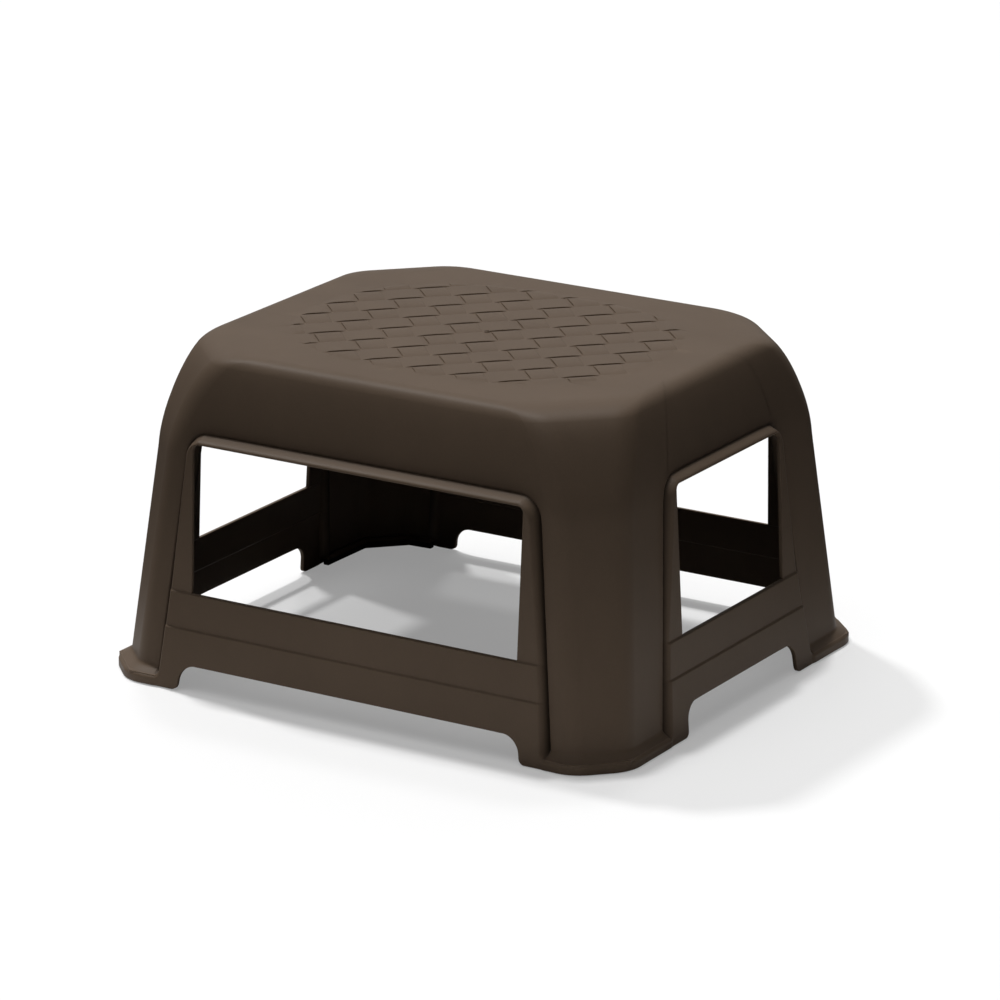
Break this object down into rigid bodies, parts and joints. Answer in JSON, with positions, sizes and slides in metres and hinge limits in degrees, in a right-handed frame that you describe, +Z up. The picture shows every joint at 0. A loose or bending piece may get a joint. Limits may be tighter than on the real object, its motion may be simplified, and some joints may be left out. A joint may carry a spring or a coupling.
{
  "type": "step stool",
  "caption": "Low rectangular moulded step stool with a basket-weave standing deck, open windowed sides, flared feet and rubber foot pads.",
  "frame": {"origin": "centre of the overall box on the floor that the foot pads stand on", "axes": "+X along the long side of the seat, +Y across it, +Z up out of the seat deck"},
  "size_m": [0.4, 0.352, 0.225],
  "materials": {
    "brown_plastic": "dark espresso-brown polypropylene, fine satin mould texture",
    "black_rubber": "matt black thermoplastic rubber"
  },
  "bodies": {
    "root": {"stool_shell": "brown_plastic", "foot_pad_front_left": "black_rubber", "foot_pad_front_right": "black_rubber", "foot_pad_rear_left": "black_rubber", "foot_pad_rear_right": "black_rubber"}
  },
  "joints": []
}
